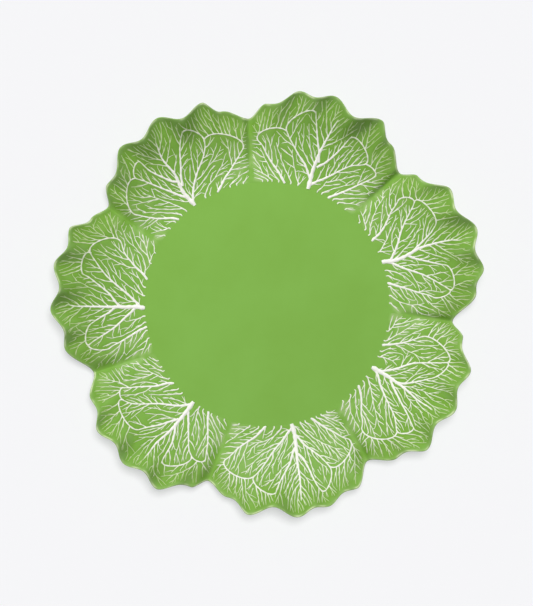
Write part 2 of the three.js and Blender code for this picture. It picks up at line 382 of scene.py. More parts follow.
@dataclass
class VeinTree:
    """The veins of one leaf: midrib, side veins and arches, then finer orders wherever there is room."""

    form: LeafForm
    seed: int
    step: float = 0.8
    rib_widths: Pair = (4.4, 1.1)
    side_widths: Pair = (2.3, 1.0)
    arch_widths: Pair = (1.2, 1.2)
    seam_gap: float = 1.5
    rim_gap: float = 3.2
    root_gap: float = 1.2
    start_gap: float = 1.8  # room that a start in the open needs
    fan_depth: float = 12.0  # how far inside the root the leaf fans out from
    wander_size: float = 0.9
    wander_wave: float = 18.0
    wander_window: int = 7
    bow: float = 0.017  # radians for each step, all one way
    unsteadiness: float = 0.016  # radians for each step, either way
    wiggle: Pair = (0.055, 9.0)  # radians for each step, and length of a wave
    length_range: Pair = (0.65, 1.1)  # shares of the longest
    angle_stray: float = 9.0  # degrees
    first_gap: Pair = (0.3, 0.9)  # shares of the spacing
    next_gap: Pair = (0.45, 0.75)
    parting_steps: float = 2.0
    join_share: float = 0.45  # how many of the veins that meet another run on into it
    join_cosine: float = 0.6  # how straight ahead the other one has to lie
    root_stray: float = 0.03  # share of the way from midrib to seam
    root_lift: float = 0.025  # share of the way from root to edge
    edge_stray: Pair = (0.05, 4.4)
    edge_skip: float = 2.0  # spacings that the hatching keeps off the root
    hatch_reach: float = 2.2
    hatch_pull: float = 0.22
    loose_tries: int = 500
    strokes: list[Stroke] = field(default_factory=list)

    def __post_init__(self) -> None:
        """Sets up the empty tree."""
        self.rng = np.random.default_rng(self.seed)
        self.points = np.zeros(0, complex)
        self.owners = np.zeros(0, int)
        root = self.plan(Half.SECOND, np.array([[0.0, 0.0]]))[0]
        self.source = complex(root * (1.0 - self.fan_depth / self.form.well_radius))

    def plan(self, half: Half, shares: Array) -> Array:
        """Points in plan from shares of half a leaf.

        Args:
            half: which half.
            shares: rows of a share from midrib to seam, and a share from root to edge.

        Returns:
            Complex points.
        """
        rib = self.form.leaf.rib
        room = rib if half is Half.FIRST else 1.0 - rib
        return self.form.spot(self.form.span * (rib + half.value * room * shares[:, 0]), shares[:, 1])

    def add(self, points: Array, widths: Pair, from_root: bool = False, arch: bool = False) -> int:
        """Lays a stroke.

        Args:
            points: complex points along it.
            widths: its width at the start and the end.
            from_root: whether it starts at the edge of the well.
            arch: whether it joins two side veins.

        Returns:
            The stroke's number.
        """
        travelled = lengths_along(points)
        count = max(FEWEST_POINTS, round(travelled[-1] / self.step) + 1)
        even = np.interp(np.linspace(0.0, travelled[-1], count), travelled, points)
        self.strokes.append(Stroke(even, widths, from_root, arch))
        self.points = np.concatenate([self.points, even])
        self.owners = np.concatenate([self.owners, np.full(count, len(self.strokes) - 1)])
        return len(self.strokes) - 1

    def wander(self, points: Array) -> Array:
        """Bends a line of points gently to both sides, and leaves its ends in place.

        Args:
            points: complex points.

        Returns:
            The bent line.
        """
        travelled = lengths_along(points)
        length = travelled[-1]
        knots = self.rng.normal(0.0, self.wander_size, max(FEWEST_POINTS, int(length / self.wander_wave) + 2))
        strays = np.interp(travelled, np.linspace(0.0, length, len(knots)), knots)
        padded = np.pad(strays, self.wander_window // 2, mode="edge")
        smoothed = np.convolve(padded, np.ones(self.wander_window) / self.wander_window, "valid")
        held = smoothstep(np.minimum(travelled, length - travelled) / (self.wander_wave / 2.0))
        return points + 1j * headings(points) * smoothed * held

    def inside(self, points: Array) -> Array:
        """Which points keep clear of the leaf's seams, edge and root.

        Args:
            points: complex points.

        Returns:
            True where a vein may run.
        """
        radius, turn = self.form.polar(points)
        edge, _ = self.form.edge(turn)
        to_seam = np.radians(np.minimum(turn, self.form.span - turn)) * radius
        off_rim = edge - radius > self.rim_gap
        off_root = radius > self.form.well_radius + self.root_gap
        return (to_seam > self.seam_gap) & off_rim & off_root

    def crowded(self, start: complex, room: float) -> bool:
        """Whether a vein lies nearer to a point than the room that it needs."""
        return bool(np.abs(self.points - start).min() < room)

    def outwards(self, points: Array | complex) -> Array | complex:
        """Complex units in the direction in which the leaf fans out at complex points."""
        away = points - self.source
        return away / np.abs(away)

    def run(self, start: complex, heading: complex, rules: StrokeRules) -> Array:
        """Runs a stroke that bows, wiggles and is pulled outwards, whatever lies in its way.

        Args:
            start: where it starts.
            heading: its first direction.
            rules: how this order is laid.

        Returns:
            Complex points.
        """
        steps = int(rules.longest * self.rng.uniform(*self.length_range) / self.step)
        turns = self.rng.normal(0.0, self.bow) + self.rng.normal(0.0, self.unsteadiness, steps)
        size, wave = self.wiggle
        phase = self.rng.uniform(0.0, math.tau)
        turns += size * np.sin(phase + math.tau * self.step / wave * np.arange(steps))
        heading /= abs(heading)
        route = [start]
        for by in turns.tolist():
            heading = (heading + rules.outwards * self.outwards(route[-1])) * complex(1.0, by)
            heading /= abs(heading)
            route.append(route[-1] + heading * self.step)
        return np.array(route)

    def trace(self, start: complex, heading: complex, rules: StrokeRules, parent: int | None) -> Array | None:
        """Runs a stroke until it comes near another vein or the end of the leaf.

        Args:
            start: where it starts.
            heading: its first direction.
            rules: how this order is laid.
            parent: the stroke that it leaves, if any.

        Returns:
            Complex points, or None where there is too little room.
        """
        points = self.run(start, heading, rules)
        clear = rules.clear / self.form.leaf.fullness
        near = np.abs(self.points - points[len(points) // 2]) < rules.longest
        gaps = np.abs(points[:, None] - self.points[near][None])
        if parent is not None:
            parting = clear / math.sin(math.radians(rules.angle)) + self.parting_steps * self.step
            gaps[: int(parting / self.step) + 1, self.owners[near] == parent] = np.inf
        closest = gaps.min(axis=1, initial=np.inf)
        blocked = ~self.inside(points) | (closest < clear)
        blocked[0] = False
        last = int(np.argmax(blocked)) if blocked.any() else len(points)
        if last * self.step < rules.shortest:
            return None
        if last < len(points) and closest[last] < clear and self.rng.random() < self.join_share:
            onwards = self.points[near][np.argmin(gaps[last - 1])] - points[last - 1]
            forwards = (onwards * np.conj(points[last] - points[last - 1])).real
            if forwards > self.join_cosine * abs(onwards) * self.step:
                return np.append(points[:last], points[last - 1] + onwards)
        return points[:last]

    def sprout(self, parent: int, rules: StrokeRules) -> list[int]:
        """Lays the veins that leave one stroke, by turns to its left and right.

        Args:
            parent: the stroke's number.
            rules: how this order is laid.

        Returns:
            Numbers of the new strokes.
        """
        points = self.strokes[parent].points
        ahead = self.outwards(points) if self.strokes[parent].arch else headings(points)
        spacing = rules.every / self.form.leaf.fullness / self.step
        at = self.rng.uniform(*self.first_gap) * spacing
        side = 1.0 if self.rng.random() < 0.5 else -1.0
        made: list[int] = []
        while at < len(points) - 1:
            index = int(at)
            for way in (side, -side):
                angle = way * math.radians(rules.angle + self.rng.normal(0.0, self.angle_stray))
                heading = complex(ahead[index]) * complex(math.cos(angle), math.sin(angle))
                route = self.trace(complex(points[index]), heading, rules, parent)
                if route is not None:
                    made.append(self.add(route, rules.widths))
                    break
            side = -side
            at += spacing * self.rng.uniform(*self.next_gap)
        return made

    def side_vein(self, number: int, half: Half) -> Route:
        """A side vein as it lies on one half of this leaf. Each strays a little, and the halves alternate.

        Args:
            number: which of the side veins.
            half: which half.

        Returns:
            Its start, bend and end in shares of the leaf.
        """
        first, middle, last = SIDE_VEINS[number]
        later = STAGGER if half is Half.SECOND and first[0] == 0.0 else 0.0
        halves = 2 * LEAVES.index(self.form.leaf) + (1 if half is Half.SECOND else 0)
        swing = STRAY_TURN * (len(SIDE_VEINS) * halves + number)
        across = 1.0 + SIDE_STRAY * math.sin(swing)
        along = 1.0 + SIDE_STRAY * math.cos(swing)
        start = (first[0], first[1] + later)
        turning = (middle[0] * across, middle[1])
        end = (last[0] * across, last[1] * along)
        return (start, turning, end)

    def arch_line(self, half: Half, pair: Sequence[Route]) -> Array:
        """A round arch that runs on from one side vein and turns back into the next.

        Args:
            half: which half of the leaf.
            pair: the two side veins.

        Returns:
            Complex points along it.
        """
        ends = [self.plan(half, bend(route, ARCH_SAMPLES)) for route in pair]
        (start, after_start), (end, after_end) = ends
        reach = ARCH_ROUNDNESS * abs(end - start)
        ahead = start + reach * (after_start - start) / abs(after_start - start)
        back = end + reach * (after_end - end) / abs(after_end - end)
        along = CURVE_SAMPLES
        near = start * (1.0 - along) ** 3 + 3.0 * ahead * along * (1.0 - along) ** 2
        return near + 3.0 * back * along**2 * (1.0 - along) + end * along**3

    def lay_main_veins(self) -> None:
        """Lays the midrib, the side veins and the arches between them, as in the CAD part."""
        rib = self.plan(Half.SECOND, bend(MIDRIB, CURVE_SAMPLES))
        self.add(self.wander(rib), self.rib_widths, from_root=True)
        for half in Half:
            routes = [self.side_vein(number, half) for number in range(len(SIDE_VEINS))]
            for route in routes:
                line = self.plan(half, bend(route, CURVE_SAMPLES))
                self.add(self.wander(line), self.side_widths, from_root=route[0][0] > 0.0)
            for pair in zip(routes, routes[1:]):
                self.add(self.arch_line(half, pair), self.arch_widths, arch=True)

    def lay_root_veins(self) -> list[int]:
        """Lays the veins that start along the root, on both sides of the midrib.

        Returns:
            Numbers of the new strokes.
        """
        made: list[int] = []
        for half in Half:
            for share in ROOT_STARTS:
                across = share + self.rng.uniform(-self.root_stray, self.root_stray)
                foot, start = self.plan(half, np.array([[across, 0.0], [across, self.root_lift]]))
                if self.crowded(start, self.start_gap):
                    continue
                route = self.trace(complex(start), complex(self.outwards(start)), ROOT_RULES, None)
                if route is not None:
                    line = np.concatenate([[foot], route])
                    made.append(self.add(line, ROOT_RULES.widths, from_root=True))
        return made

    def edge_starts(self) -> list[tuple[complex, complex]]:
        """Where the hatching meets the rim and the seams.

        Returns:
            Each start, and its direction inwards.
        """
        form = self.form
        span = form.span
        reach = form.well_radius + form.leaf_length
        pitch = math.degrees(EDGE_RULES.every / reach)
        turn = np.arange(pitch, span, pitch)
        edge, _ = form.edge(turn)
        strays = self.rng.uniform(*self.edge_stray, len(turn))
        rim = form.place(edge - self.rim_gap - strays, turn)
        starts = list(zip(rim.tolist(), (-self.outwards(rim)).tolist(), strict=True))
        radius = np.arange(form.well_radius + self.edge_skip * EDGE_RULES.every, reach, EDGE_RULES.every)
        for half in Half:
            strays = self.rng.uniform(*self.edge_stray, len(radius)) / 2.0
            turn = np.degrees((self.seam_gap + strays) / radius)
            side = form.place(radius, turn if half is Half.FIRST else span - turn)
            lean = np.exp(1j * math.radians(EDGE_RULES.angle) * half.value)
            starts += zip(side.tolist(), (-self.outwards(side) * lean).tolist(), strict=True)
        return starts

    def hatch(self, start: complex, heading: complex) -> Array:
        """Runs a stroke straight inwards until it meets another vein, which draws it in when it is near.

        Args:
            start: where it starts, at the edge.
            heading: its direction.

        Returns:
            Complex points, from its inner end to its start.
        """
        route = [start]
        while len(route) * self.step < EDGE_RULES.longest:
            gaps = self.points - route[-1]
            gap = complex(gaps[np.argmin(np.abs(gaps))])
            if abs(gap) < self.step:
                route.append(route[-1] + gap)
                break
            if abs(gap) < self.hatch_reach:
                heading += self.hatch_pull * gap / abs(gap)
            heading /= abs(heading)
            route.append(route[-1] + heading * self.step)
        return np.array(route[::-1])

    def lay_edge_veins(self) -> list[int]:
        """Lays hatching that runs inwards from the rim and the seams.

        Returns:
            Numbers of the new strokes.
        """
        made: list[int] = []
        for start, heading in self.edge_starts():
            if not self.inside(np.array([start]))[0] or self.crowded(start, EDGE_RULES.clear):
                continue
            line = self.hatch(start, heading)
            if len(line) * self.step >= EDGE_RULES.shortest:
                made.append(self.add(line, EDGE_RULES.widths))
        return made

    def lay_loose_veins(self) -> None:
        """Lays short forked strokes of their own where room is left."""
        span = self.form.span
        for across, along in self.rng.uniform(0.0, 1.0, (self.loose_tries, 2)):
            spots = self.form.spot(np.array([across * span]), along)
            start = complex(spots[0])
            if not self.inside(spots)[0] or self.crowded(start, self.start_gap):
                continue
            route = self.trace(start, self.outwards(start), LOOSE_RULES, None)
            if route is not None:
                self.sprout(self.add(route, LOOSE_RULES.widths), TWIG_RULES)

    def grow(self) -> list[Stroke]:
        """Lays every order.

        Returns:
            All the strokes.
        """
        self.lay_main_veins()
        parents = list(range(len(self.strokes))) + self.lay_root_veins()
        for rules in BRANCH_ORDERS:
            parents += [new for parent in tuple(parents) for new in self.sprout(parent, rules)]
        parents += self.lay_edge_veins()
        for parent in parents:
            self.sprout(parent, TWIG_RULES)
        self.lay_loose_veins()
        return self.strokes


# Meshes


def mesh_piece(name: str, plan: Array, heights: Array, faces: Faces) -> bpy.types.Object:
    """Makes a smooth-shaded mesh object in metres.

    Args:
        name: the piece's name.
        plan: complex points in millimetres.
        heights: one height for each point, in millimetres.
        faces: corners of each face.

    Returns:
        The new object, in the scene.
    """
    corners = np.stack([plan.real.ravel(), plan.imag.ravel(), heights.ravel()], axis=-1) * MM
    mesh = bpy.data.meshes.new(name)
    mesh.from_pydata(corners.tolist(), [], faces)
    mesh.validate()
    mesh.shade_smooth()
    mesh.set_sharp_from_angle(angle=math.radians(CREASE_ANGLE))
    piece = bpy.data.objects.new(name, mesh)
    bpy.context.scene.collection.objects.link(piece)
    return piece


def set_values(piece: bpy.types.Object, mask: Mask, values: Array) -> None:
    """Stores one value for each corner of a mesh, for its material."""
    attribute = piece.data.attributes.new(mask.value, "FLOAT", "POINT")
    attribute.data.foreach_set("value", values.astype(np.float32).ravel())


def band(near: int, far: int, size: int) -> Faces:
    """Faces between two rings of a size, given the number of the first corner of each."""
    sides = [(corner, (corner + 1) % size) for corner in range(size)]
    return [[near + corner, near + after, far + after, far + corner] for corner, after in sides]


def skin(rings: int, size: int, first: int = 0) -> Faces:
    """Faces of a closed skin over a row of rings, with both ends capped.

    Args:
        rings: how many rings.
        size: corners in each ring.
        first: number of the first corner.

    Returns:
        Corners of each face.
    """
    starts = [first + ring * size for ring in range(rings)]
    faces = [face for near, far in zip(starts, starts[1:]) for face in band(near, far, size)]
    faces.append([first + corner for corner in reversed(range(size))])
    faces.append([starts[-1] + corner for corner in range(size)])
    return faces


def lathe(name: str, profile: Sequence[Pair], segments: int) -> bpy.types.Object:
    """Turns a closed profile about the Z axis.

    Args:
        name: the piece's name.
        profile: radius and height of each corner, counter-clockwise with the radius to the right.
        segments: steps round the axis.

    Returns:
        The new object.
    """
    radii, levels = np.array(profile).T
    plan = circle(segments)[:, None] * radii[None]
    size = len(profile)
    starts = [segment * size for segment in range(segments)]
    faces = [face for near, far in zip(starts, starts[1:] + starts[:1]) for face in band(far, near, size)]
    return mesh_piece(name, plan, np.broadcast_to(levels, plan.shape), faces)


# Pieces


class Piece(ABC):
    """A piece of the platter, in the place of one CAD node."""

    node: str
    slot: ClassVar[Slot]

    @abstractmethod
    def build(self) -> bpy.types.Object:
        """Makes the piece's mesh object."""

    def dress(self, piece: bpy.types.Object, material: bpy.types.Material) -> None:
        """Gives the mesh its finish, and puts it in the place of its CAD node.

        Args:
            piece: the mesh object that was built.
            material: the finish.
        """
        piece.data.materials.append(material)
        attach(piece, BODY)
        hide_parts(self.node)


@dataclass(frozen=True)
class Shell:
    """The grid of a leaf's skin, a row for each column across the leaf.

    It holds degrees from the first seam, radii, the radius where the lip starts, points in plan, their
    heights, and how far they lie from the nearest vein.
    """

    turn: Array
    radius: Array
    crest: Array
    plan: Array
    heights: Array
    gaps: Array


@dataclass
class LeafPiece(Piece):
    """A ruffled leaf: a shell with a round lip, tucked under the next leaf along its second seam.

    Where its colour darkens, pales or turns milk-white along a line, a pair gives the reach and the strength.
    The darkening is painted shade together with glaze that pools; the paling is thin glaze together with
    painted highlights, painted glints and painted sheen.
    """

    slot: ClassVar[Slot] = Slot.GREEN
    form: LeafForm
    strokes: list[Stroke]
    columns: int = 170
    top_rows: int = 96
    lip_rows: int = 9
    under_rows: int = 16
    tuck_steps: Route = ((1.5, 0.35), (3.0, 1.2))  # beyond the second seam, and down
    root_steps: Route = ((-0.9, 0.5), (0.0, 0.02))  # beyond the well's edge, and down
    puff: float = 0.22
    puff_reach: float = 1.2
    puff_fade: float = 4.8  # how far from the root it is full
    lip_radius: float = 1.3
    # painted shade and glaze that pools, towards the rim
    rim_shade_and_pool: float = 0.7
    # painted shade in the crease along the second seam, and glaze that pools there
    seam_shade_and_pool: Pair = (1.6, 0.5)
    # painted shade beside the raised veins, and glaze that pools there
    vein_shade_and_pool: Pair = (1.1, 0.5)
    vein_shade_and_pool_root: float = 0.6  # share of it that is left at the root
    # thin glaze and a painted highlight along the lip
    thin_and_lit_band: Pair = (2.4, 0.14)
    # painted glints, in a line just inside the lip
    glint_line: Pair = (0.5, 0.75)
    glint_inset: float = 1.0
    glint_turns: Pair = (38.0, 61.0)  # how many of each of two waves of painted glints go round the platter
    glint_share: float = 0.35
    # white glaze run over the green between the veins, with painted sheen
    milk: Pair = (2.0, 0.26)
    milk_waves: Pair = (21.0, 27.0)  # lengths of two waves in the leant plan
    milk_lean: float = 0.4
    milk_share: float = 0.5
    milk_fade: float = 0.75  # share of it that is lost at the rim

    @property
    def node(self) -> str:
        """The CAD node that it stands for."""
        return f"leaf_{self.form.leaf.side.value}"

    def vein_gaps(self, plan: Array) -> Array:
        """Distance from points in plan to the side of the nearest vein.

        Args:
            plan: complex points.

        Returns:
            Millimetres, 0 on a vein.
        """
        spots = np.concatenate([stroke.points for stroke in self.strokes])
        halves = np.concatenate([stroke.width() / 2.0 for stroke in self.strokes])
        tree = kdtree.KDTree(len(spots))
        for index, spot in enumerate(spots.tolist()):
            tree.insert((spot.real, spot.imag, 0.0), index)
        tree.balance()
        gaps = []
        for point in plan.ravel().tolist():
            _, index, distance = tree.find((point.real, point.imag, 0.0))
            gaps.append(max(0.0, distance - halves[index]))
        return np.reshape(gaps, plan.shape)

    def grid(self) -> Shell:
        """Lays out the skin from the root over the top, round the lip and back underneath.

        Returns:
            The grid, with soft swellings between the veins.
        """
        form = self.form
        plain = [(degrees, 0.0, 0.0) for degrees in np.linspace(0.0, form.span, self.columns)]
        tucked = [(form.span, *step) for step in self.tuck_steps]
        turn, tuck, drop = np.array(plain + tucked).T[:, :, None]
        edge, _ = form.edge(turn)
        crest = edge - tuck / 2.0 - self.lip_radius
        beyond, down = np.array(self.root_steps).T
        out = np.linspace(0.0, 1.0, self.top_rows)[None, 1:]
        root = np.tile(form.well_radius + beyond, (len(turn), 1))
        top_radius = np.hstack([root, form.well_radius + out * (crest - form.well_radius)])
        top = form.height(top_radius, turn)
        top[:, : len(down)] = form.floor - down
        ahead = self.lip_radius / 2.0
        slope = (form.height(crest + ahead, turn) - form.height(crest, turn)) / ahead
        around = np.linspace(math.pi / 2.0, -math.pi / 2.0, self.lip_rows)[None, 1:-1]
        lip_radius = crest + self.lip_radius * np.cos(around)
        lip = top[:, -1:] + slope * (lip_radius - crest) + self.lip_radius * (np.sin(around) - 1.0)
        scarf_radius = form.well_radius + form.scarf
        back = np.linspace(1.0, 0.0, self.under_rows)[None]
        under_radius = scarf_radius + back * (crest - scarf_radius)
        under = form.height(under_radius, turn) - form.wall
        radius = np.hstack([top_radius, lip_radius, under_radius])
        plan = form.place(radius, turn + np.degrees(tuck / radius))
        rows = top.shape[1]
        gaps = np.full(plan.shape, np.inf)
        gaps[:, :rows] = self.vein_gaps(plan[:, :rows])
        off_root = smoothstep((top_radius - form.well_radius) / self.puff_fade)
        top += self.puff * off_root * (1.0 - fading(gaps[:, :rows], self.puff_reach))
        heights = np.hstack([top, lip + self.puff, under]) - drop
        return Shell(turn, radius, crest, plan, heights, gaps)

    def depth(self, shell: Shell) -> Array:
        """Eased shares of the way from the root to the rim."""
        root = self.form.well_radius
        return smoothstep((shell.radius - root) / (shell.crest - root))

    def shade_and_pooling(self, shell: Shell) -> Array:
        """Where the leaf is darker: painted shade together with glaze that pools, towards the rim, in the
        crease along the second seam and beside the raised veins.

        Args:
            shell: the grid.

        Returns:
            0 for a plain glaze, and more for a darker one.
        """
        depth = self.depth(shell)
        to_seam = np.radians(self.form.span - shell.turn) * shell.radius
        beside_veins = self.vein_shade_and_pool_root + (1.0 - self.vein_shade_and_pool_root) * depth
        towards_rim = depth * (self.rim_shade_and_pool + fading(to_seam, *self.seam_shade_and_pool))
        return towards_rim + beside_veins * fading(shell.gaps, *self.vein_shade_and_pool)

    def painted_glints(self, turn: Array) -> Array:
        """Where painted glints lie along the lip, one dash after another.

        Args:
            turn: degrees of each column from the first seam.

        Returns:
            0 between the glints, and 1 in the middle of one.
        """
        bearing = np.radians(self.form.leaf.seam + turn)
        first, second = self.glint_turns
        return smoothstep(np.sin(first * bearing) * np.sin(second * bearing) + self.glint_share)

    def wash_and_sheen_patches(self, plan: Array) -> Array:
        """Where the green between the veins is paler: white glaze run over it, with painted sheen on top.

        Args:
            plan: complex points.

        Returns:
            0 outside a patch, and 1 in its middle.
        """
        leant = plan * complex(1.0, self.milk_lean)
        first, second = self.milk_waves
        ripple = np.sin(math.tau * leant.real / first) * np.sin(math.tau * leant.imag / second)
        return smoothstep(self.milk_share + ripple)

    def thin_glaze_and_highlights(self, shell: Shell) -> Array:
        """Where the leaf is paler: thin glaze with a painted highlight along the lip, painted glints just
        inside it, and white glaze run over the green with painted sheen beside the seams.

        Args:
            shell: the grid.

        Returns:
            0 for a plain glaze, and more for a paler one.
        """
        to_edge = shell.crest + self.lip_radius - shell.radius
        to_edge[:, -self.under_rows :] = np.inf
        glints = self.painted_glints(shell.turn) * fading(to_edge - self.glint_inset, *self.glint_line)
        beside_seams = (2.0 * shell.turn / self.form.span - 1.0) ** 2
        wash_and_sheen = beside_seams * (1.0 - self.milk_fade * self.depth(shell)) * self.wash_and_sheen_patches(shell.plan)
        return fading(to_edge, *self.thin_and_lit_band) + glints + wash_and_sheen * fading(shell.gaps, *self.milk)

    def build(self) -> bpy.types.Object:
        """Makes the shell, with the masks of its glaze.

        Returns:
            The new object.
        """
        shell = self.grid()
        name = f"leaf_shell_{self.form.leaf.side.value}"
        piece = mesh_piece(name, shell.plan, shell.heights, skin(*shell.plan.shape))
        # painted shade with glaze that pools, and thin glaze with painted highlights, glints and sheen
        set_values(piece, Mask.SHADE_AND_POOL, self.shade_and_pooling(shell))
        set_values(piece, Mask.LIP, self.thin_glaze_and_highlights(shell))
        return piece


@dataclass
class VeinsPiece(Piece):
    """The raised veins of a leaf: a low rounded ridge along each stroke."""

    slot: ClassVar[Slot] = Slot.WHITE
    form: LeafForm
    strokes: list[Stroke]
    across: tuple[float, ...] = (-1.0, -0.74, -0.32, 0.32, 0.74, 1.0, 0.6, -0.6)  # shares of half the width
    rise: tuple[float, ...] = (-0.2, 0.6, 0.97, 0.97, 0.6, -0.2, -0.9, -0.9)  # shares of the crest's height
    relief: float = 0.22
    least_relief: float = 0.2
    tip_length: float = 2.0  # widths over which the end of a vein narrows
    blunt_tip: float = 0.05
    blunt_root: float = 0.35
    fine_width: float = 0.6  # at which the white is thinnest
    fine_range: float = 0.9  # how much wider a vein is when it covers well
    twig_fade: float = 0.25  # how thin it runs on fine veins anywhere
    rim_fade: float = 0.75  # how much thinner at the rim
    fade_from: float = 0.62  # share of the way to the edge
    full_leaf: float = 1.08  # a leaf less full than this fades from further in
    early_fade: float = 3.5

    @property
    def node(self) -> str:
        """The CAD node that it stands for."""
        return f"veins_{self.form.leaf.side.value}"

    def taper(self, stroke: Stroke) -> Array:
        """Rounds off the end of a stroke, and its start where that lies at the well.

        Args:
            stroke: the vein.

        Returns:
            A share of its width at each point.
        """
        travelled = lengths_along(stroke.points)
        to_tip = (travelled[-1] - travelled) / (self.tip_length * stroke.width())
        rounded = np.sqrt(np.clip(to_tip + self.blunt_tip, 0.0, 1.0))
        if stroke.from_root:
            rounded *= np.sqrt(np.clip(travelled / stroke.width() + self.blunt_root, 0.0, 1.0))
        return rounded

    def fineness(self, stroke: Stroke) -> Array:
        """How thin the white lies along a stroke: thinnest on fine veins near the rim.

        Args:
            stroke: the vein.

        Returns:
            0 where it covers well, and 1 where it has run thin.
        """
        width = stroke.width() * self.taper(stroke)
        fine = 1.0 - np.clip((width - self.fine_width) / self.fine_range, 0.0, 1.0)
        along = self.form.along(*self.form.polar(stroke.points))
        start = self.fade_from * min(1.0, self.form.leaf.fullness / self.full_leaf) ** self.early_fade
        near_rim = smoothstep((along - start) / (1.0 - self.fade_from))
        return fine * (self.twig_fade + self.rim_fade * near_rim)

    def build(self) -> bpy.types.Object:
        """Lofts every ridge over the leaf.

        Returns:
            The new object.
        """
        across, rise = np.array(self.across), np.array(self.rise)
        plans, levels, faces, fineness = [], [], [], []
        first = 0
        for stroke in self.strokes:
            width, taper = stroke.width(), self.taper(stroke)
            sides = 1j * headings(stroke.points) * width * taper / 2.0
            plan = stroke.points[:, None] - sides[:, None] * across[None]
            crest = (self.relief * width + self.least_relief) * taper
            plans.append(plan.ravel())
            levels.append((self.form.over(plan) + crest[:, None] * rise[None]).ravel())
            fineness.append(np.repeat(self.fineness(stroke), len(across)))
            faces += skin(*plan.shape, first)
            first += plan.size
        name = f"vein_ridges_{self.form.leaf.side.value}"
        piece = mesh_piece(name, np.concatenate(plans), np.concatenate(levels), faces)
        set_values(piece, Mask.FINENESS, np.concatenate(fineness))
        return piece


@dataclass
class WellPiece(Piece):
    """The plain flat well, with an edge that runs under the roots of the leaves."""

    node: ClassVar[str] = "well_plate"
    slot: ClassVar[Slot] = Slot.GREEN
    floor: float
    underside: float
    radius: float = 101.25
    bevel: float = 6.0  # how much further the underside reaches
    segments: int = 192

    def build(self) -> bpy.types.Object:
        """Turns the plate.

        Returns:
            The new object.
        """
        outline = ((self.radius + self.bevel, self.underside), (self.radius, self.floor))
        plan = np.array([radius * circle(self.segments) for radius, _ in outline])
        levels = np.array([[level] * self.segments for _, level in outline])
        return mesh_piece("well", plan, levels, skin(*plan.shape))


@dataclass
class FootPiece(Piece):
    """The foot ring of bare clay, with rounded edges where it stands."""

    node: ClassVar[str] = "foot_ring"
    slot: ClassVar[Slot] = Slot.CLAY
    height: float
    radius: float = 89.0
    width: float = 6.0
    flare: float = 2.0  # how much wider each side is at the top
    rounding: float = 1.2
    corner_steps: int = 6
    wall_stops: Pair = (0.5, 1.0)  # shares of the height
    segments: int = 192

    def build(self) -> bpy.types.Object:
        """Turns the ring.

        Returns:
            The new object.
        """
        side = self.radius + self.width / 2.0
        outer = [
            (side - self.rounding * (1.0 - math.sin(angle)), self.rounding * (1.0 - math.cos(angle)))
            for angle in np.linspace(0.0, math.pi / 2.0, self.corner_steps)
        ]
        outer += [(side + self.flare * share, self.height * share) for share in self.wall_stops]
        inner = [(2.0 * self.radius - radius, level) for radius, level in reversed(outer)]
        return lathe("foot", outer + inner, self.segments)


# Node groups and finishes

VALUE = "NodeSocketFloat"
COLOUR = "NodeSocketColor"
WHOLE = (0.0, 1.0)
MIX_INPUTS = (0, 6, 7)  # the factor and the two colours of a mix node
MIXED_COLOUR = 2  # its output that gives a colour


@dataclass
class Wiring:
    """Adds the nodes of one tree. An input is fed by another node's output, or by a plain value."""

    tree: bpy.types.NodeTree

    def feed(self, node: bpy.types.Node, feeds: dict[str | int, object]) -> None:
        """Feeds the inputs of a node.

        Args:
            node: the node.
            feeds: what feeds each input, by its number, or by its name with _ for a space.
        """
        for key, source in feeds.items():
            socket = node.inputs[key.replace("_", " ") if isinstance(key, str) else key]
            if isinstance(source, Socket):
                self.tree.links.new(source, socket)
            else:
                socket.default_value = source

    def add(self, kind: str, *ordered: object, **named: object) -> bpy.types.Node:
        """Adds a node.

        Args:
            kind: the node's type name.
            ordered: what feeds its inputs, in their order.
            named: what feeds its inputs, by name.

        Returns:
            The node.
        """
        node = self.tree.nodes.new(kind)
        self.feed(node, {**dict(enumerate(ordered)), **named})
        return node

    def place(self, group: bpy.types.NodeTree, **named: object) -> Outputs:
        """Places a node group.

        Args:
            group: the group.
            named: what feeds its inputs, by name.

        Returns:
            Its outputs.
        """
        node = self.add("ShaderNodeGroup")
        node.node_tree = group
        self.feed(node, named)
        return node.outputs

    def mix(self, *sources: Socket | Colour) -> Socket:
        """Mixes two colours.

        Args:
            sources: a factor that is 0 for the first colour and 1 for the second, and the colours.

        Returns:
            The mixed colour.
        """
        node = self.add("ShaderNodeMix")
        node.data_type = "RGBA"
        self.feed(node, dict(zip(MIX_INPUTS, sources, strict=True)))
        return node.outputs[MIXED_COLOUR]

    def spread(self, source: Socket, start: Pair, end: Pair) -> Socket:
        """Maps the range of values from start on to the range end."""
        return self.add("ShaderNodeMapRange", source, *start, *end).outputs[0]

    def spot(self) -> Socket:
        """Where a point lies on its piece."""
        return self.add("ShaderNodeTexCoord").outputs["Object"]

    def noise(self, scale: Socket, detail: float, rough: float) -> Socket:
        """Noise that stays with its piece, with so many finer layers of that strength."""
        node = self.add("ShaderNodeTexNoise", Vector=self.spot(), Scale=scale, Detail=detail, Roughness=rough)
        return node.outputs["Fac"]

    def bump(self, height: Socket, strength: float, distance: float) -> Socket:
        """A normal that follows a height, for so strong a relief over that distance in metres."""
        node = self.add("ShaderNodeBump", Strength=strength, Distance=distance, Height=height)
        return node.outputs["Normal"]

    def shade(self, **named: object) -> None:
        """Ends a material with its one shader, whose inputs are fed by name."""
        shader = self.add("ShaderNodeBsdfPrincipled", **named)
        self.add("ShaderNodeOutputMaterial", Surface=shader.outputs["BSDF"])

    def mask(self, which: Mask) -> Socket:
        """Reads a value that a mesh holds.

        Args:
            which: the value.

        Returns:
            Its output, 0 on a mesh without it.
        """
        node = self.add("ShaderNodeAttribute")
        node.attribute_name = which.value
        return node.outputs["Fac"]


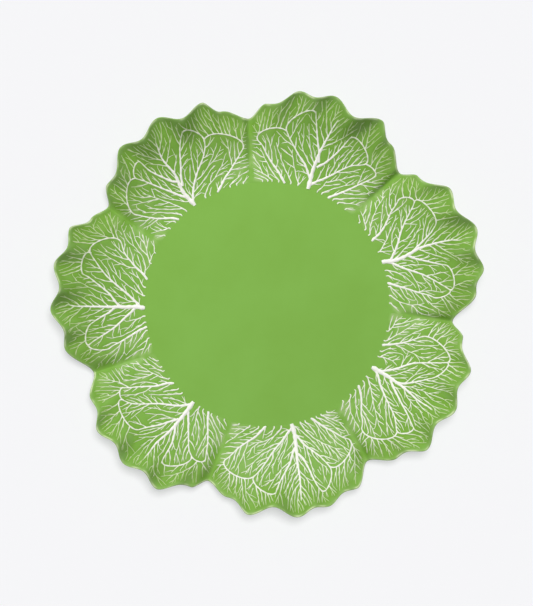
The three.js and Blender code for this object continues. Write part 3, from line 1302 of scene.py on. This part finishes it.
def blank_wiring(owner: bpy.types.Material | bpy.types.World) -> Wiring:
    """Empties the nodes of a new material or world.

    Args:
        owner: the material or world.

    Returns:
        The wiring of its tree.
    """
    owner.use_nodes = True
    owner.node_tree.nodes.clear()
    return Wiring(owner.node_tree)


def new_group(name: str, takes: dict[str, str], gives: dict[str, str]) -> tuple[Wiring, Outputs]:
    """Makes an empty shader node group.

    Args:
        name: the group's name.
        takes: kind of each input socket.
        gives: kind of each output socket.

    Returns:
        The wiring, and what the group takes in.
    """
    tree = bpy.data.node_groups.new(name, "ShaderNodeTree")
    for way, sockets in (("INPUT", takes), ("OUTPUT", gives)):
        for socket, kind in sockets.items():
            tree.interface.new_socket(name=socket, in_out=way, socket_type=kind)
    wiring = Wiring(tree)
    return wiring, wiring.add("NodeGroupInput").outputs


@dataclass(frozen=True)
class GlazeFilm:
    """How a fired glaze lies: drifting thickness, a faint ripple and small changes of gloss."""

    drift_noise: Pair = (3.0, 0.55)  # detail and roughness
    ripple_noise: Pair = (2.0, 0.5)
    drift_range: Pair = (0.32, 0.68)
    ripple_range: Pair = (0.3, 0.7)
    roughness: Pair = (0.1, 0.18)

    def group(self) -> bpy.types.NodeTree:
        """Makes the node group.

        Returns:
            The group.
        """
        wiring, takes = new_group(
            "glaze_film",
            {"Drift Scale": VALUE, "Ripple Scale": VALUE},
            {"Drift": VALUE, "Ripple": VALUE, "Roughness": VALUE},
        )
        drift = wiring.spread(wiring.noise(takes["Drift Scale"], *self.drift_noise), self.drift_range, WHOLE)
        ripple = wiring.noise(takes["Ripple Scale"], *self.ripple_noise)
        roughness = wiring.spread(ripple, self.ripple_range, self.roughness)
        wiring.add("NodeGroupOutput", Drift=drift, Ripple=ripple, Roughness=roughness)
        return wiring.tree


@dataclass(frozen=True)
class GlazeTone:
    """A glaze's colour, deeper by its drift and by its darkening mask, and paler by its paleness mask. On the
    leaves these masks also lay painted shade and painted highlights.
    """

    most_drift: float = 0.16
    most_darkening: float = 0.45

    def group(self) -> bpy.types.NodeTree:
        """Makes the node group.

        Returns:
            The group.
        """
        colours = dict.fromkeys(("Base", "Deep", "Thin"), COLOUR)
        masks = dict.fromkeys(("Darkening", "Paleness", "Drift"), VALUE)
        wiring, takes = new_group("glaze_tone", colours | masks, {"Color": COLOUR})
        tone = takes["Base"]
        for name, most in (("Drift", self.most_drift), ("Darkening", self.most_darkening)):
            tone = wiring.mix(wiring.spread(takes[name], WHOLE, (0.0, most)), tone, takes["Deep"])
        wiring.add("NodeGroupOutput", Color=wiring.mix(takes["Paleness"], tone, takes["Thin"]))
        return wiring.tree


@dataclass(frozen=True)
class ClayGrain:
    """Fired clay without glaze: fine grain with a few darker specks."""

    noise: Pair = (6.0, 0.7)  # detail and roughness
    speck_scale: float = 420.0
    speck_edge: Pair = (0.08, 0.2)

    def group(self) -> bpy.types.NodeTree:
        """Makes the node group.

        Returns:
            The group.
        """
        wiring, takes = new_group("clay_grain", {"Grain Scale": VALUE}, {"Grain": VALUE, "Specks": VALUE})
        grain = wiring.noise(takes["Grain Scale"], *self.noise)
        cells = wiring.add("ShaderNodeTexVoronoi", Vector=wiring.spot(), Scale=self.speck_scale)
        specks = wiring.spread(cells.outputs["Distance"], self.speck_edge, (1.0, 0.0))
        wiring.add("NodeGroupOutput", Grain=grain, Specks=specks)
        return wiring.tree


@dataclass(frozen=True)
class Glaze:
    """A glossy glaze. It darkens and pales by the named values of the mesh, which on the leaves hold painted
    shade and painted highlights as well as glaze that pools and runs thin.
    """

    name: str
    base: Colour
    deep_and_shaded: Colour
    thin: Colour
    shades_and_pools_by: Mask
    thins_and_lights_by: Mask
    drift_scale: float = 22.0
    ripple_scale: float = 150.0
    ripple_height: float = 0.00012
    ripple_strength: float = 0.5
    refraction: float = 1.5

    def material(self, film: bpy.types.NodeTree, tone: bpy.types.NodeTree) -> bpy.types.Material:
        """Makes the material.

        Args:
            film: the group for how the glaze lies.
            tone: the group for its colour.

        Returns:
            The material.
        """
        material = bpy.data.materials.new(self.name)
        wiring = blank_wiring(material)
        lie = wiring.place(film, Drift_Scale=self.drift_scale, Ripple_Scale=self.ripple_scale)
        hue = wiring.place(
            tone,
            Base=self.base,
            Deep=self.deep_and_shaded,
            Thin=self.thin,
            Darkening=wiring.mask(self.shades_and_pools_by),
            Paleness=wiring.mask(self.thins_and_lights_by),
            Drift=lie["Drift"],
        )
        normal = wiring.bump(lie["Ripple"], self.ripple_strength, self.ripple_height)
        wiring.shade(Base_Color=hue["Color"], Roughness=lie["Roughness"], Normal=normal, IOR=self.refraction)
        return material


@dataclass(frozen=True)
class Clay:
    """Bare fired clay."""

    name: str
    pale: Colour
    dark: Colour
    speck: Colour
    grain_scale: float = 900.0
    grain_height: float = 0.0002
    grain_strength: float = 0.6
    roughness: float = 0.85

    def material(self, grain: bpy.types.NodeTree) -> bpy.types.Material:
        """Makes the material.

        Args:
            grain: the group for the clay's grain.

        Returns:
            The material.
        """
        material = bpy.data.materials.new(self.name)
        wiring = blank_wiring(material)
        body = wiring.place(grain, Grain_Scale=self.grain_scale)
        tone = wiring.mix(body["Specks"], wiring.mix(body["Grain"], self.pale, self.dark), self.speck)
        normal = wiring.bump(body["Grain"], self.grain_strength, self.grain_height)
        wiring.shade(Base_Color=tone, Roughness=self.roughness, Normal=normal)
        return material


GREEN_GLAZE = Glaze(
    name="green_glaze",
    base=linear(132, 183, 81),
    # colour of glaze that pools, and of painted shade
    deep_and_shaded=linear(109, 151, 36),
    # colour of thin glaze, and of painted highlights, glints and sheen
    thin=linear(224, 234, 190),
    shades_and_pools_by=Mask.SHADE_AND_POOL,
    thins_and_lights_by=Mask.LIP,
)
WHITE_GLAZE = Glaze(
    name="white_glaze",
    base=linear(252, 250, 245),
    deep_and_shaded=linear(243, 243, 228),
    thin=linear(196, 214, 158),
    shades_and_pools_by=Mask.SHADE_AND_POOL,
    thins_and_lights_by=Mask.FINENESS,
)
BARE_CLAY = Clay(
    name="bare_clay",
    pale=linear(224, 211, 188),
    dark=linear(205, 188, 160),
    speck=linear(150, 126, 98),
)


# Studio


class Target(Enum):
    """What a lamp lights. The other is shaded from it."""

    PLATTER = "EXCLUDE"
    FLOOR = "INCLUDE"


class LampKind(Enum):
    """A soft panel near by, or a far lamp."""

    PANEL = "AREA"
    SUN = "SUN"


@dataclass(frozen=True)
class Lamp:
    """A lamp that faces the platter. A panel's size is in metres, and a sun's is its spread in degrees."""

    kind: LampKind
    target: Target
    place: Place
    size: float
    power: float

    def light(self, name: str) -> bpy.types.Light:
        """Makes the lamp's light.

        Args:
            name: its name.

        Returns:
            The light.
        """
        light = bpy.data.lights.new(name, self.kind.value)
        light.energy = self.power
        if self.kind is LampKind.SUN:
            light.angle = math.radians(self.size)
        else:
            light.size = self.size
        return light


@dataclass(frozen=True)
class Studio:
    """Floor, light and camera. The camera looks straight down, with +Y up in the picture."""

    key: Lamp = Lamp(LampKind.PANEL, Target.PLATTER, (-0.44, 0.95, 2.0), 0.8, 52.0)
    shadow_light: Lamp = Lamp(LampKind.SUN, Target.FLOOR, (0.05, 0.13, 1.0), 15.0, 2.8)
    ambient: float = 0.13  # strength of the light from all round
    backdrop: float = 1.0  # strength of what the camera sees past the floor
    window: Place = (0.0, 0.643, 0.766)  # direction of its middle
    window_edge: float = 0.85  # cosine of the angle from its middle to its edge
    horizon: float = 0.45  # sine of the angle up to which it is bright
    shine: Pair = (0.15, 0.95)  # strengths outside both and where they are brightest
    pale: Colour = linear(246, 246, 248)
    floor_size: float = 6.0
    glow: float = 0.57  # share of the floor's brightness that no shadow darkens
    distance: float = 4.0
    far_end: float = 16.0
    level: float = 0.025  # height at which picture_height is measured
    sensor: float = 36.0  # millimetres
    picture_height: float = 0.4995
    aim: Pair = (-0.00043, 0.00088)  # point under the camera

    def lay_floor(self) -> bpy.types.Object:
        """Lays the plain floor that takes the platter's shadow.

        Returns:
            The floor.
        """
        material = bpy.data.materials.new("floor")
        wiring = blank_wiring(material)
        lit = wiring.add("ShaderNodeBsdfDiffuse", Color=self.pale).outputs[0]
        glowing = wiring.add("ShaderNodeEmission", Color=self.pale).outputs[0]
        seen = wiring.add("ShaderNodeLightPath").outputs["Is Camera Ray"]
        share = wiring.spread(seen, WHOLE, (0.0, self.glow))
        surface = wiring.add("ShaderNodeMixShader", share, lit, glowing).outputs[0]
        wiring.add("ShaderNodeOutputMaterial", Surface=surface)
        bpy.ops.mesh.primitive_plane_add(size=self.floor_size)
        floor = bpy.context.object
        floor.name = "floor"
        floor.data.materials.append(material)
        return floor

    def hang_lamps(self, floor: bpy.types.Object) -> None:
        """Hangs the lamps.

        Args:
            floor: the floor, which has a lamp of its own.
        """
        for name, lamp in (("key", self.key), ("shadow_light", self.shadow_light)):
            holder = bpy.data.objects.new(name, lamp.light(name))
            holder.location = lamp.place
            holder.rotation_euler = (-Vector(lamp.place)).to_track_quat("-Z", "Y").to_euler()
            holder.visible_glossy = False
            lit = bpy.data.collections.new(f"lit_by_{name}")
            lit.objects.link(floor)
            lit.collection_objects[0].light_linking.link_state = lamp.target.value
            holder.light_linking.receiver_collection = lit
            bpy.context.scene.collection.objects.link(holder)

    def surround(self) -> None:
        """Fills in light from all round. The glaze mirrors a window and a bright horizon."""
        world = bpy.data.worlds.new("studio")
        wiring = blank_wiring(world)
        direction = wiring.add("ShaderNodeTexCoord").outputs["Generated"]
        towards = wiring.add("ShaderNodeVectorMath", direction, self.window)
        towards.operation = "DOT_PRODUCT"
        upwards = wiring.add("ShaderNodeSeparateXYZ", direction).outputs["Z"]
        window = wiring.spread(towards.outputs["Value"], (self.window_edge, 1.0), self.shine)
        horizon = wiring.spread(upwards, (self.horizon, 0.0), self.shine)
        brightest = wiring.add("ShaderNodeMath", window, horizon)
        brightest.operation = "MAXIMUM"
        rays = wiring.add("ShaderNodeLightPath").outputs
        shown = wiring.add("ShaderNodeBackground", self.pale, self.ambient).outputs[0]
        for ray, strength in (("Is Glossy Ray", brightest.outputs[0]), ("Is Camera Ray", self.backdrop)):
            other = wiring.add("ShaderNodeBackground", self.pale, strength).outputs[0]
            shown = wiring.add("ShaderNodeMixShader", rays[ray], shown, other).outputs[0]
        wiring.add("ShaderNodeOutputWorld", Surface=shown)
        bpy.context.scene.world = world

    def set_camera(self) -> None:
        """Puts the camera above the platter."""
        lens = bpy.data.cameras.new("camera")
        lens.sensor_width = self.sensor
        lens.lens = self.sensor * (self.distance - self.level) / self.picture_height
        lens.clip_end = self.far_end
        camera = bpy.data.objects.new("camera", lens)
        camera.location = (*self.aim, self.distance)
        bpy.context.scene.collection.objects.link(camera)
        bpy.context.scene.camera = camera
        bpy.context.scene.view_settings.view_transform = "Standard"


def main() -> None:
    """Builds the platter and its studio."""
    logging.basicConfig(level=logging.INFO, format="%(message)s")
    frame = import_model()
    LOG.info("%d CAD nodes", len(frame["nodes"]))
    film, tone = GlazeFilm().group(), GlazeTone().group()
    finishes = {
        Slot.GREEN: GREEN_GLAZE.material(film, tone),
        Slot.WHITE: WHITE_GLAZE.material(film, tone),
        Slot.CLAY: BARE_CLAY.material(ClayGrain().group()),
    }
    underside, floor = (corner.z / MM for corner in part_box("well_plate"))
    pieces: list[Piece] = [WellPiece(floor, underside), FootPiece(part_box("foot_ring")[1].z / MM)]
    for seed, leaf in enumerate(LEAVES, FIRST_SEED):
        form = LeafForm(leaf, floor)
        strokes = VeinTree(form, seed).grow()
        pieces += [LeafPiece(form, strokes), VeinsPiece(form, strokes)]
    for piece in pieces:
        made = piece.build()
        piece.dress(made, finishes[piece.slot])
        LOG.info("%s: %d faces, %s", made.name, len(made.data.polygons), piece.slot.value)
    studio = Studio()
    studio.hang_lamps(studio.lay_floor())
    studio.surround()
    studio.set_camera()


if __name__ == "__main__":
    main()
